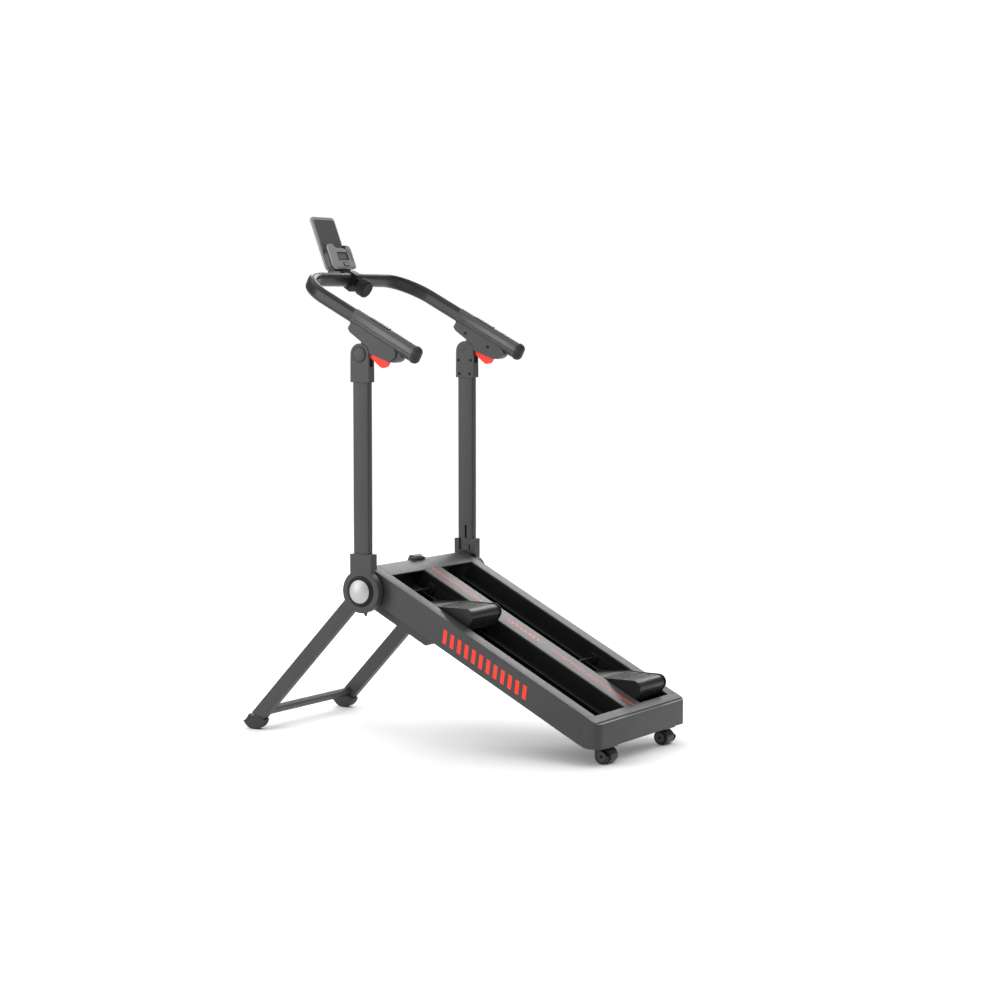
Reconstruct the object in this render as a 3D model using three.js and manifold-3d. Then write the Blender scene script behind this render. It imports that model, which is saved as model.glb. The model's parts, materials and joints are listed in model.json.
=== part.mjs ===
// Folding inclined stepper: two pedals slide up and down a sloping deck, linked by belts at its top.
// Millimetres, +Z up, +Y from the low end towards the console, +X to the user's right.
// The origin is on the floor, under the middle of the whole machine.
import * as THREE from 'three';
import { mergeVertices } from 'three/addons/utils/BufferGeometryUtils.js';
import Module from 'manifold-3d';

const wasm = await Module();
wasm.setup();

// ---------- driving dimensions ----------
const GAP = 0.3; // running clearance between touching pieces
const CENTRE_Y = 561; // middle of the machine's length, from the low end of the deck's top
const SLOPE = THREE.MathUtils.degToRad(27.52); // deck's climb
const DECK_Z = 117.4; // height of the deck's top at its low end

const DECK_HALF = 245; // half width over the side beams
const CHANNEL_IN = 42; // channels lie between these two distances from the middle
const CHANNEL_OUT = 202;
const CHANNEL_LOW = 24; // along the deck
const CHANNEL_HIGH = 731;
const DECK_HIGH = 789;
const DECK_DEEP = 75;
const LANE = (CHANNEL_IN + CHANNEL_OUT) / 2; // middle of a channel

const HUB_Y = 700; // axis of the posts' fold
const HUB_Z = 414.5;
const HUB_R = 58.5;
const HUB_FACE = 276.5;

const POST_X = 262;
const POST_DEEP = 50;
const POST_WIDE = 20;
const HEAD_Z = 1048.5; // axis of the handlebar's fold
const HEAD_R = 29;

const BAR_SLOPE = THREE.MathUtils.degToRad(27.5);
const BAR_TALL = 40;
const BAR_WIDE = 24;
const BAR_Y = 915.3; // crossbar's centre
const BAR_Z = 1249;
const BAR_BEND = 106;
const BAR_ARM = 449; // straight arm, from the bend's far side to the grip's end

const LEG_Y = 745.5; // axis of the legs' fold
const LEG_Z = 396;
const LEG_LENGTH = 500;
const LEG_X = 217;
const LEG_DROP = THREE.MathUtils.degToRad(46.6);

const ROLLER_R = 14.7;
const AXLE_H = -31;
const PULLEY_R = 11;
const SHAFT_R = 5;
const DRIVE_S = 744;
const IDLER_S = 50;
const BELT_H = -58.8;
const FLYWHEEL_S = 620;
const FLYWHEEL_H = -62;
const TRAVEL = 420; // pedal's stroke
const HEEL_LOW = 40;

const WHEEL_R = 21;
const WHEEL_Y = 10;
const WHEEL_X = 158;
const WHEEL_HALF = 20;

// ---------- materials ----------
function material(color, roughness, metalness) {
  return new THREE.MeshStandardMaterial({ color, roughness, metalness });
}
const finish = {
  frame: material(0x4a4a4b, 0.55, 0.1),
  cover: material(0x55565a, 0.5, 0.1),
  black: material(0x141415, 0.6, 0.0),
  rubber: material(0x1b1b1c, 0.85, 0.0),
  satin: material(0x242426, 0.35, 0.3),
  pedal: material(0x1f1f21, 0.6, 0.0),
  silver: material(0xc9cacc, 0.3, 0.9),
  steel: material(0x8d9094, 0.35, 0.9),
  red: material(0xff3a26, 0.45, 0.0),
  console: material(0x7b7c80, 0.5, 0.1),
  screen: material(0x4c4d50, 0.25, 0.0),
  glass: material(0x343436, 0.12, 0.0),
};

// ---------- geometry helpers ----------
// Corners are [u, v] or [u, v, radius]; a radius rounds that corner.
function outline(corners) {
  const shape = new THREE.Shape();
  corners.forEach(([u, v, radius = 0], i) => {
    const here = new THREE.Vector2(u, v);
    const before = new THREE.Vector2(...corners.at(i - 1).slice(0, 2));
    const after = new THREE.Vector2(...corners[(i + 1) % corners.length].slice(0, 2));
    const start = here.clone().add(before.sub(here).setLength(radius));
    const end = here.clone().add(after.sub(here).setLength(radius));
    if (i === 0) shape.moveTo(start.x, start.y);
    else shape.lineTo(start.x, start.y);
    if (radius > 0) shape.quadraticCurveTo(u, v, end.x, end.y);
  });
  shape.closePath();
  return shape;
}

function rectangle(u0, u1, v0, v1, radius = 0) {
  return outline([[u0, v0, radius], [u1, v0, radius], [u1, v1, radius], [u0, v1, radius]]);
}

// A slot with round ends, length along u.
function stadium(length, height) {
  const half = length / 2 - height / 2;
  const shape = new THREE.Shape();
  shape.absarc(half, 0, height / 2, -Math.PI / 2, Math.PI / 2);
  shape.absarc(-half, 0, height / 2, Math.PI / 2, 1.5 * Math.PI);
  return shape;
}

// An outline in the Y-Z plane, thick along X from x0 to x1.
function plate(shape, x0, x1, curveSegments = 4) {
  const geometry = new THREE.ExtrudeGeometry(shape, { depth: x1 - x0, bevelEnabled: false, curveSegments });
  const turn = new THREE.Matrix4().makeBasis(
    new THREE.Vector3(0, 1, 0), new THREE.Vector3(0, 0, 1), new THREE.Vector3(1, 0, 0));
  return geometry.applyMatrix4(turn).translate(x0, 0, 0);
}

// An outline in the X-Z plane, long along Y from y0 to y1.
function rail(shape, y0, y1, curveSegments = 3) {
  const geometry = new THREE.ExtrudeGeometry(shape, { depth: y1 - y0, bevelEnabled: false, curveSegments });
  const turn = new THREE.Matrix4().makeBasis(
    new THREE.Vector3(1, 0, 0), new THREE.Vector3(0, 0, 1), new THREE.Vector3(0, -1, 0));
  return geometry.applyMatrix4(turn).translate(0, y1, 0);
}

// An outline in the X-Y plane, tall along Z from z0 to z1.
function slab(shape, z0, z1, curveSegments = 3) {
  return new THREE.ExtrudeGeometry(shape, { depth: z1 - z0, bevelEnabled: false, curveSegments })
    .translate(0, 0, z0);
}

function block(x0, x1, y0, y1, z0, z1) {
  return new THREE.BoxGeometry(x1 - x0, y1 - y0, z1 - z0)
    .translate((x0 + x1) / 2, (y0 + y1) / 2, (z0 + z1) / 2);
}

// A turned piece about the X axis; the profile is [radius, x] from low x to high x.
function turned(profile, segments = 24) {
  const points = profile.map(([radius, x]) => new THREE.Vector2(radius, x));
  return new THREE.LatheGeometry(points, segments).rotateZ(-Math.PI / 2);
}

function rod(radius, x0, x1, segments = 16) {
  return new THREE.CylinderGeometry(radius, radius, x1 - x0, segments)
    .rotateZ(-Math.PI / 2).translate((x0 + x1) / 2, 0, 0);
}

function solid(geometry) {
  const bare = new THREE.BufferGeometry();
  bare.setAttribute('position', geometry.getAttribute('position'));
  if (geometry.index) bare.setIndex(geometry.index);
  const merged = mergeVertices(bare, 1e-4);
  const corners = merged.index.array;
  const triVerts = [];
  for (let i = 0; i < corners.length; i += 3) {
    const [a, b, c] = corners.slice(i, i + 3);
    if (a !== b && b !== c && c !== a) triVerts.push(a, b, c);
  }
  const vertProperties = new Float32Array(merged.getAttribute('position').array);
  return new wasm.Manifold(new wasm.Mesh({ numProp: 3, vertProperties, triVerts: new Uint32Array(triVerts) }));
}

function surface(manifold) {
  const mesh = manifold.getMesh();
  const geometry = new THREE.BufferGeometry();
  geometry.setAttribute('position', new THREE.BufferAttribute(new Float32Array(mesh.vertProperties), 3));
  geometry.setIndex(new THREE.BufferAttribute(new Uint32Array(mesh.triVerts), 1));
  geometry.computeVertexNormals();
  return geometry;
}

function join(...pieces) {
  return surface(pieces.map(solid).reduce((sum, piece) => sum.add(piece)));
}

function cut(piece, ...tools) {
  return surface(tools.map(solid).reduce((rest, tool) => rest.subtract(tool), solid(piece)));
}

// ---------- scene graph ----------
const machine = new THREE.Group();
machine.position.set(0, -CENTRE_Y, 0);
const deck = new THREE.Group();
deck.position.set(0, 0, DECK_Z);
deck.rotation.x = SLOPE;
machine.add(deck);

function place(group, name, geometry, look, x = 0, y = 0, z = 0) {
  const mesh = new THREE.Mesh(geometry, look);
  mesh.name = name;
  mesh.position.set(x, y, z);
  group.add(mesh);
  return mesh;
}

// A piece and its mirror image in the X direction.
const SIDES = [['left', -1], ['right', 1]];
function mirrored(geometry, side) {
  if (side > 0) return geometry.clone();
  const image = (geometry.index ? geometry.toNonIndexed() : geometry.clone()).scale(-1, 1, 1);
  const position = image.getAttribute('position');
  const corner = new THREE.Vector3();
  const other = new THREE.Vector3();
  for (let i = 0; i < position.count; i += 3) {
    corner.fromBufferAttribute(position, i);
    other.fromBufferAttribute(position, i + 1);
    position.setXYZ(i, ...other.toArray());
    position.setXYZ(i + 1, ...corner.toArray());
  }
  image.computeVertexNormals();
  return image;
}

function pair(group, name, geometry, look, y = 0, z = 0) {
  for (const [word, side] of SIDES) place(group, `${word}_${name}`, mirrored(geometry, side), look, 0, y, z);
}

// A point of the deck, from its distance up the slope and its height above the top.
function onDeck(s, h) {
  return new THREE.Vector2(
    s * Math.cos(SLOPE) - h * Math.sin(SLOPE), DECK_Z + s * Math.sin(SLOPE) + h * Math.cos(SLOPE));
}
// The same point, the other way round.
function toDeck(y, z) {
  const rise = z - DECK_Z;
  return new THREE.Vector2(
    y * Math.cos(SLOPE) + rise * Math.sin(SLOPE), -y * Math.sin(SLOPE) + rise * Math.cos(SLOPE));
}
const hub = toDeck(HUB_Y, HUB_Z);

// ---------- deck: side beams, centre beam, ends ----------
function sideBeam() {
  const wall = 3;
  const profile = outline([
    [DECK_HALF, 0, 2.5], [DECK_HALF, -DECK_DEEP], [DECK_HALF - wall, -DECK_DEEP],
    [DECK_HALF - wall, -wall], [CHANNEL_OUT + wall, -wall], [CHANNEL_OUT + wall, -DECK_DEEP],
    [CHANNEL_OUT, -DECK_DEEP], [CHANNEL_OUT, 0, 1.5],
  ]);
  const beam = rail(profile, CHANNEL_LOW + GAP, DECK_HIGH);
  const shaftHoles = [IDLER_S, DRIVE_S].map(
    (s) => rod(SHAFT_R + GAP, CHANNEL_OUT - 1, CHANNEL_OUT + 5).translate(0, s, BELT_H));
  const hubHole = rod(8.3, DECK_HALF - 6, DECK_HALF + 2).translate(0, hub.x, hub.y);
  return cut(beam, ...shaftHoles, hubHole);
}
pair(deck, 'side_beam', sideBeam(), finish.frame);

function centreBeam() {
  const wall = 3;
  const half = CHANNEL_IN - GAP;
  const profile = outline([
    [-half, -DECK_DEEP], [-half + wall, -DECK_DEEP], [-half + wall, -wall], [half - wall, -wall],
    [half - wall, -DECK_DEEP], [half, -DECK_DEEP], [half, 0, 1.5], [-half, 0, 1.5],
  ]);
  const beam = rail(profile, CHANNEL_LOW + GAP, CHANNEL_HIGH - GAP);
  const holes = [[IDLER_S, BELT_H], [FLYWHEEL_S, FLYWHEEL_H]].map(
    ([s, h]) => rod(SHAFT_R + GAP, -50, 50).translate(0, s, h));
  return cut(beam, ...holes);
}
place(deck, 'centre_beam', centreBeam(), finish.cover);

function highEndCover() {
  const half = CHANNEL_OUT - GAP;
  const wall = 3;
  return plate(outline([
    [CHANNEL_HIGH, -wall], [DECK_HIGH - wall, -wall], [DECK_HIGH - wall, -DECK_DEEP], [DECK_HIGH, -DECK_DEEP],
    [DECK_HIGH, 0, 9], [CHANNEL_HIGH, 0, 1],
  ]), -half, half, 6);
}
place(deck, 'high_end_cover', highEndCover(), finish.cover);

function endCap() {
  const top = onDeck(CHANNEL_LOW, 0);
  const bottom = onDeck(CHANNEL_LOW, -DECK_DEEP);
  const shape = outline([
    [top.x, top.y], [-1, 117, 1], [-4, 113.5, 1], [-12, 113, 2], [-12, 47, 2], [30, 49.5, 6], [bottom.x, bottom.y],
  ]);
  const body = solid(plate(shape, -DECK_HALF, DECK_HALF));
  const round = 26;
  const plan = (inset) => slab(outline([
    [-DECK_HALF + inset, -12 + inset, round - inset], [DECK_HALF - inset, -12 + inset, round - inset],
    [DECK_HALF - inset, 80], [-DECK_HALF + inset, 80],
  ]), 0, 200, 8);
  const inner = plate(outline([
    [top.x + 10, top.y + 0.5], [0, 111], [-8, 108], [-8, 51], [30, 53.5], [bottom.x + 8, bottom.y + 6.5],
  ]), -DECK_HALF, DECK_HALF);
  const lid = plate(outline([
    [top.x + 9, top.y + 9], [top.x + 1.8, top.y - 3.4], [-6, 110], [-12, 140], [20, 160],
  ]), -DECK_HALF, DECK_HALF);
  const hollow = solid(inner).intersect(solid(plan(4))).subtract(solid(lid));
  return surface(body.intersect(solid(plan(0))).subtract(hollow));
}
place(machine, 'end_cap', endCap(), finish.frame);

// ---------- tracks inside the channels ----------
function track() {
  const inside = CHANNEL_IN + GAP;
  const outside = CHANNEL_OUT - GAP;
  const wall = 2.4;
  const ledge = 20 + wall;
  const profile = outline([
    [inside, -3], [inside, -74.7], [outside, -74.7], [outside, -3], [outside - wall, -3],
    [outside - wall, -46], [outside - ledge, -46], [outside - ledge, -48.5], [outside - wall, -48.5],
    [outside - wall, -72.2], [inside + wall, -72.2], [inside + wall, -48.5], [inside + ledge, -48.5],
    [inside + ledge, -46], [inside + wall, -46], [inside + wall, -3],
  ]);
  const tray = rail(profile, CHANNEL_LOW + 1.5, CHANNEL_HIGH - 1);
  return cut(tray, rod(SHAFT_R + GAP, inside - 5, outside + 5).translate(0, IDLER_S, BELT_H));
}
pair(deck, 'track', track(), finish.black);

// One shaft carries the left and the right pulley, and turns in the walls of the beams and tracks.
function beltShaft(middle) {
  const end = CHANNEL_OUT + 4;
  const right = [[SHAFT_R, LANE - 8], [PULLEY_R, LANE - 8], [PULLEY_R, LANE + 8], [SHAFT_R, LANE + 8],
    [SHAFT_R, end], [0, end]];
  const left = right.map(([radius, x]) => [radius, -x]).reverse();
  return turned([...left, ...middle, ...right], 18);
}
place(deck, 'idler_shaft', beltShaft([]), finish.steel, 0, IDLER_S, BELT_H);

// A flat belt round two pulleys on the slope: [s, h, radius] for each pulley.
function belt(low, high, x0, x1, thick = 1.6) {
  const along = new THREE.Vector2(high[0] - low[0], high[1] - low[1]);
  const tilt = Math.atan2(along.y, along.x);
  const lean = Math.asin((low[2] - high[2]) / along.length());
  const segments = 6;
  const flats = 1 / Math.cos(Math.PI / (4 * segments)); // keeps the arc's flats clear of the pulley
  const ring = (extra) => {
    const shape = new THREE.Shape();
    const up = Math.PI / 2 - lean;
    shape.absarc(high[0], high[1], (high[2] + extra) * flats, tilt - up, tilt + up);
    shape.absarc(low[0], low[1], (low[2] + extra) * flats, tilt + up, tilt + 2 * Math.PI - up);
    return shape;
  };
  const band = ring(GAP + thick);
  band.holes.push(ring(GAP));
  return plate(band, x0, x1, segments);
}
pair(deck, 'pedal_belt', belt([IDLER_S, BELT_H, PULLEY_R], [DRIVE_S, BELT_H, PULLEY_R], LANE - 6, LANE + 6),
  finish.rubber);

const STEP_UP_R = 36;
const SMALL_R = 10;
place(deck, 'drive_shaft', beltShaft([[SHAFT_R, 14], [STEP_UP_R, 15], [STEP_UP_R, 27], [SHAFT_R, 28]]),
  finish.steel, 0, DRIVE_S, BELT_H);

function flywheel() {
  return turned([
    [0, -CHANNEL_IN], [SHAFT_R, -CHANNEL_IN], [SHAFT_R, -20], [40, -20], [40, 2], [SHAFT_R, 2],
    [SHAFT_R, 14], [SMALL_R, 15], [SMALL_R, 27], [SHAFT_R, 28], [SHAFT_R, CHANNEL_IN], [0, CHANNEL_IN],
  ]);
}
place(deck, 'flywheel', flywheel(), finish.steel, 0, FLYWHEEL_S, FLYWHEEL_H);
place(deck, 'step_up_belt',
  belt([FLYWHEEL_S, FLYWHEEL_H, SMALL_R], [DRIVE_S, BELT_H, STEP_UP_R], 16, 26), finish.rubber);

// Shallow box under the deck's high end; the legs' studs turn in the holes in its sides.
const HOUSING_HIGH = 806;
const STUD_R = 8;
function resistanceHousing() {
  const half = 203;
  const low = toDeck(525, 297);
  const floor = toDeck(538, 270);
  const stud = toDeck(LEG_Y, LEG_Z);
  const top = -DECK_DEEP - GAP;
  const outer = plate(outline([
    [low.x, top], [floor.x, floor.y, 6], [HOUSING_HIGH - 4, floor.y, 8], [HOUSING_HIGH, top],
  ]), -half, half);
  const inner = plate(outline([
    [low.x + 3, top + 1], [floor.x + 3, floor.y + 3], [HOUSING_HIGH - 7, floor.y + 3], [HOUSING_HIGH - 3, top + 1],
  ]), -half + 3, half - 3);
  return cut(outer, inner, rod(STUD_R + GAP, -half - 1, half + 1, 24).translate(0, stud.x, stud.y));
}
place(deck, 'resistance_housing', resistanceHousing(), finish.frame);

// ---------- pedals ----------
function pedalShoe() {
  const nose = new THREE.Vector2(21, 19);
  const noseR = 22;
  const tilt = Math.PI / 2 - SLOPE;
  const topAt = (s) => 43 - Math.tan(SLOPE) * (s - 23);
  const wide = (inset) => {
    const shape = new THREE.Shape();
    shape.moveTo(nose.x + (noseR - inset) * Math.cos(tilt), nose.y + (noseR - inset) * Math.sin(tilt));
    shape.absarc(nose.x, nose.y, noseR - inset, tilt, Math.PI);
    shape.lineTo(4 + inset, inset > 0 ? -18 : -16.5);
    shape.lineTo(139 - inset, inset > 0 ? -18 : -16.5);
    return shape;
  };
  const narrow = (inset) => {
    const floor = inset > 0 ? -42 : -40;
    const drop = inset / Math.cos(SLOPE);
    const toe = 182 - 2 * inset;
    return outline([
      [60 + inset, floor], [60 + inset, topAt(60) - 8 - inset], [140, topAt(140) - 0.2 - drop],
      [toe - 6, topAt(toe - 6) - drop], [toe, floor],
    ]);
  };
  const outer = solid(plate(wide(0), -75, 75)).add(solid(plate(narrow(0), -72, 72)));
  const inner = solid(plate(wide(3.5), -71.5, 71.5)).add(solid(plate(narrow(3.5), -68.5, 68.5)));
  return surface(outer.subtract(inner));
}

function carriage(belowBelt) {
  const cheek = outline([
    [8, -44.3, 8], [244, -44.3, 12], [244, -17.3, 13], [8, -17.3, 8],
  ]);
  const pieces = [plate(cheek, 72.4, 75.4), plate(cheek, -75.4, -72.4), block(-74, 74, 70, 180, -44.3, -41.5)];
  if (belowBelt) {
    pieces.push(block(9, 13, 110, 140, -69.8, -43), block(-5, 13, 110, 140, -69.8, -66));
  } else {
    pieces.push(block(-6, 6, 110, 140, -45.3, -43));
  }
  const holes = [30, 224].map((s) => rod(4.3, -90, 90).translate(0, s, AXLE_H));
  return surface(holes.reduce((rest, hole) => rest.subtract(solid(hole)), solid(join(...pieces))));
}

function wheelset() {
  const axle = 4;
  const right = [[axle, 60], [ROLLER_R, 60], [ROLLER_R, 71], [axle, 71], [axle, 76.3], [0, 76.3]];
  const left = right.map(([radius, x]) => [radius, -x]).reverse();
  return turned([...left, ...right], 16);
}

for (const [word, side] of SIDES) {
  const heel = HEEL_LOW + (side < 0 ? TRAVEL : 0);
  const ride = new THREE.Group();
  ride.position.set(side * LANE, heel, 0);
  deck.add(ride);
  place(ride, `${word}_pedal`, pedalShoe(), finish.pedal);
  place(ride, `${word}_carriage`, mirrored(carriage(side > 0), side), finish.satin);
  place(ride, `${word}_lower_rollers`, wheelset(), finish.rubber, 0, 30, AXLE_H);
  place(ride, `${word}_upper_rollers`, wheelset(), finish.rubber, 0, 224, AXLE_H);
}

// ---------- transport wheels ----------
// A fork for the right wheel, its round outer cheek wide and its inner cheek narrow.
function wheelBracket() {
  const underCap = (y) => 48 + 0.0595 * y; // underside of the end cap, less the clearance
  const cheek = (reach, x0, x1) => {
    const shape = new THREE.Shape();
    shape.moveTo(-reach, underCap(-reach));
    shape.absarc(0, WHEEL_R + 0.5, reach, Math.PI, 2 * Math.PI);
    shape.lineTo(reach, underCap(reach));
    return plate(shape, x0, x1, 12);
  };
  const top = plate(outline([[-17, 43.2], [17, 43.2], [17, underCap(17)], [-17, underCap(-17)]]), -24, 32);
  const bolt = rod(4, -23, 30).translate(0, 0, WHEEL_R);
  return join(cheek(20, 28, 32), cheek(12, -24, -21), top, bolt);
}
function transportWheel() {
  const half = WHEEL_HALF;
  return turned([[4.3, -half], [WHEEL_R - 1, -half], [WHEEL_R, 1 - half], [WHEEL_R, half - 1],
    [WHEEL_R - 1, half], [4.3, half], [4.3, -half]], 28);
}
for (const [word, side] of SIDES) {
  place(machine, `${word}_wheel_bracket`, mirrored(wheelBracket(), side), finish.satin,
    side * WHEEL_X, WHEEL_Y, 0);
  place(machine, `${word}_wheel`, transportWheel(), finish.rubber, side * WHEEL_X, WHEEL_Y, WHEEL_R);
}

// ---------- fold release on the high end ----------
// A raised tab whose top falls away towards the right.
function releaseLever() {
  const left = -28;
  const right = 30;
  const tab = plate(outline([
    [DECK_HIGH + 0.5, -26, 2], [DECK_HIGH + 9, -26, 4], [DECK_HIGH + 11, 6, 5], [DECK_HIGH - 6, 11, 4],
    [DECK_HIGH - 12, 6, 2], [DECK_HIGH - 10, 1.2], [DECK_HIGH + 0.5, 1.2],
  ]), left, right);
  const taper = rail(outline([
    [left, -30], [right, -30], [right, 2.5], [4, 10, 20], [left + 3, 12, 3], [left, 8],
  ]), DECK_HIGH - 20, DECK_HIGH + 20, 6);
  return surface(solid(tab).intersect(solid(taper)));
}
place(deck, 'release_lever', releaseLever(), finish.cover);

// ---------- hubs: fixed base, axle bolt and cap; collar and post turn about them ----------
function hubBase() {
  const inside = DECK_HALF - 3.4;
  return turned([
    [0, inside - 8], [14, inside - 8], [14, inside], [8, inside], [8, DECK_HALF + GAP], [55, DECK_HALF + GAP],
    [55, 254.7], [14, 254.7], [14, 268], [0, 268],
  ]);
}
pair(machine, 'hub_base', hubBase(), finish.satin, HUB_Y, HUB_Z);

function hubCap() {
  return turned([[0, 271], [35, 271], [33, 281], [31, 284], [20, 288.3], [0, 290]], 28);
}
pair(machine, 'hub_cap', hubCap(), finish.silver, HUB_Y, HUB_Z);

function collar() {
  const inner = 246.5;
  const outer = 276;
  const rise = 515 - HUB_Z;
  const deep = 33.5;
  const well = 42;
  const ring = turned([
    [14.3, 255], [HUB_R - 1, 255], [HUB_R, 256], [HUB_R, HUB_FACE - 2], [HUB_R - 2, HUB_FACE], [well, HUB_FACE],
    [well, 270.7], [14.3, 270.7], [14.3, 255],
  ], 32);
  const sleeve = plate(outline([[-deep, 57.5], [deep, 57.5], [deep, rise, 2], [-deep, rise, 2]]), inner, outer);
  const neck = plate(outline([[-deep, 46], [deep, 46], [deep, 60], [-deep, 60]]), 255, outer);
  const socket = block(POST_X - 10.3, POST_X + 10.3, -25.3, 25.3, 65.3, rise + 5);
  const window = block(inner - 1, POST_X - 10, -19, 19, 68, rise + 5);
  const latch = block(inner + 0.5, POST_X - 10.4, -14, 4, 60, rise - 18);
  return surface(solid(ring).add(solid(sleeve)).add(solid(neck)).subtract(solid(socket)).subtract(solid(window))
    .add(solid(latch)));
}
pair(machine, 'collar', collar(), finish.frame, HUB_Y, HUB_Z);

// ---------- posts and heads ----------
const POST_LOW = 480.2;
const POST_HIGH = 1006;
function post() {
  const tube = slab(rectangle(POST_X - POST_WIDE / 2, POST_X + POST_WIDE / 2, -POST_DEEP / 2, POST_DEEP / 2, 4),
    POST_LOW, POST_HIGH);
  const bore = slab(rectangle(POST_X - POST_WIDE / 2 + 1.8, POST_X + POST_WIDE / 2 - 1.8,
    -POST_DEEP / 2 + 1.8, POST_DEEP / 2 - 1.8, 2), POST_LOW - 1, POST_HIGH + 1);
  const slot = block(POST_X - POST_WIDE / 2 - 1, POST_X - 5, -4, 2, 516, 553);
  return cut(tube, bore, slot);
}
pair(machine, 'post', post(), finish.frame, HUB_Y, 0);

const HEAD_LOW = 974.5;
function head() {
  const shape = new THREE.Shape();
  shape.moveTo(HEAD_R + 0.5, HEAD_LOW);
  shape.lineTo(HEAD_R, HEAD_Z);
  shape.absarc(0, HEAD_Z, HEAD_R, 0, Math.PI);
  shape.lineTo(-HEAD_R - 0.5, HEAD_LOW);
  const body = plate(shape, 249, 276, 14);
  const socket = slab(rectangle(POST_X - 10.3, POST_X + 10.3, -25.3, 25.3, 4), HEAD_LOW - 1, POST_HIGH + GAP);
  const fork = block(255.2, 269.8, -40, 40, HEAD_Z - 33, HEAD_Z + 40);
  return cut(body, socket, fork, rod(6.3, 240, 290).translate(0, 0, HEAD_Z));
}
pair(machine, 'head', head(), finish.frame, HUB_Y, 0);

function headPin() {
  return turned([[0, 249.5], [6, 249.5], [6, 276.3], [20.5, 276.3], [20.5, 277.5], [0, 278]], 28);
}
pair(machine, 'head_pin', headPin(), finish.frame, HUB_Y, HEAD_Z);

// ---------- handlebar assembly ----------
const normal = new THREE.Vector2(-Math.sin(BAR_SLOPE), Math.cos(BAR_SLOPE));
const along = new THREE.Vector2(Math.cos(BAR_SLOPE), Math.sin(BAR_SLOPE));
// A point beside an arm, from its distance before the crossbar's centre and its height above the bar's axis.
function onArm(back, height) {
  return new THREE.Vector2(BAR_Y, BAR_Z).addScaledVector(along, -back).addScaledVector(normal, height);
}

// Two straight arms, two bends and a straight crossbar, in one plane, with a step for each straight stretch.
const BEND_STEPS = 6;
class BarPath extends THREE.Curve {
  constructor(arm) {
    super();
    this.arm = arm;
    this.steps = 2 * BEND_STEPS + 3;
  }

  getUtoTmapping(u) {
    return u;
  }

  getPoint(t, target = new THREE.Vector3()) {
    const side = t < 0.5 ? -1 : 1;
    const step = this.steps * Math.min(t, 1 - t);
    const turn = (Math.PI / 2) * THREE.MathUtils.clamp((step - 1) / BEND_STEPS, 0, 1);
    const before = this.arm * (1 - Math.min(step, 1));
    const middle = (POST_X - BAR_BEND) * 2 * Math.max(step - 1 - BEND_STEPS, 0);
    return target.set(side * (POST_X - BAR_BEND * (1 - Math.cos(turn)) - middle),
      -before - BAR_BEND * (1 - Math.sin(turn)), 0);
  }
}

function handlebar() {
  const path = new BarPath(BAR_ARM - BAR_BEND - 16);
  const section = stadium(BAR_TALL, BAR_WIDE);
  section.holes.push(stadium(BAR_TALL - 3.6, BAR_WIDE - 3.6));
  return new THREE.ExtrudeGeometry(section, {
    steps: path.steps, extrudePath: path, curveSegments: 3, bevelEnabled: false,
  });
}
const bar = new THREE.Group();
bar.position.set(0, BAR_Y, BAR_Z);
bar.rotation.x = BAR_SLOPE;
machine.add(bar);
place(bar, 'handlebar', surface(solid(handlebar())), finish.satin);

const GRIP_NEAR = 214; // grip's upper end, before the crossbar
const SENSOR_NEAR = -266;
const SENSOR_FAR = -332;
const GRIP_TALL = 45;
const GRIP_WIDE = 28;
function grip() {
  const section = stadium(GRIP_TALL, GRIP_WIDE);
  const turn = (geometry) => geometry.applyMatrix4(new THREE.Matrix4().makeBasis(
    new THREE.Vector3(0, 0, 1), new THREE.Vector3(1, 0, 0), new THREE.Vector3(0, 1, 0)));
  const length = BAR_ARM - GRIP_NEAR;
  const body = turn(new THREE.ExtrudeGeometry(section, {
    depth: length - 9, bevelEnabled: false, curveSegments: 5,
  })).translate(POST_X, -BAR_ARM + 9, 0);
  const nose = turn(new THREE.ExtrudeGeometry(section, {
    depth: 1, bevelEnabled: true, bevelThickness: 9, bevelSize: 7, bevelOffset: -7, bevelSegments: 3,
    curveSegments: 5,
  })).translate(POST_X, -BAR_ARM + 9, 0);
  const bore = turn(new THREE.ExtrudeGeometry(stadium(BAR_TALL + 2 * GAP, BAR_WIDE + 2 * GAP), {
    depth: length, bevelEnabled: false, curveSegments: 5,
  })).translate(POST_X, -BAR_ARM + 15.7, 0);
  const pocket = block(POST_X - 6.3, POST_X + 6.3, SENSOR_FAR - 0.3, SENSOR_NEAR + 0.3, GRIP_TALL / 2 - 1.1, GRIP_TALL);
  return surface(solid(body).add(solid(nose)).subtract(solid(bore)).subtract(solid(pocket)));
}
pair(bar, 'grip', grip(), finish.rubber);

function pulseSensor() {
  const ribs = [];
  for (let y = SENSOR_FAR + 1; y < SENSOR_NEAR - 3; y += 6) {
    ribs.push(block(POST_X - 5.5, POST_X + 5.5, y, y + 3.5, GRIP_TALL / 2 - 0.6, GRIP_TALL / 2 + 1.4));
  }
  const tray = block(POST_X - 6, POST_X + 6, SENSOR_FAR, SENSOR_NEAR, GRIP_TALL / 2 - 0.8, GRIP_TALL / 2 + 0.5);
  return join(tray, ...ribs);
}
pair(bar, 'pulse_sensor', pulseSensor(), finish.silver);

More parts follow.
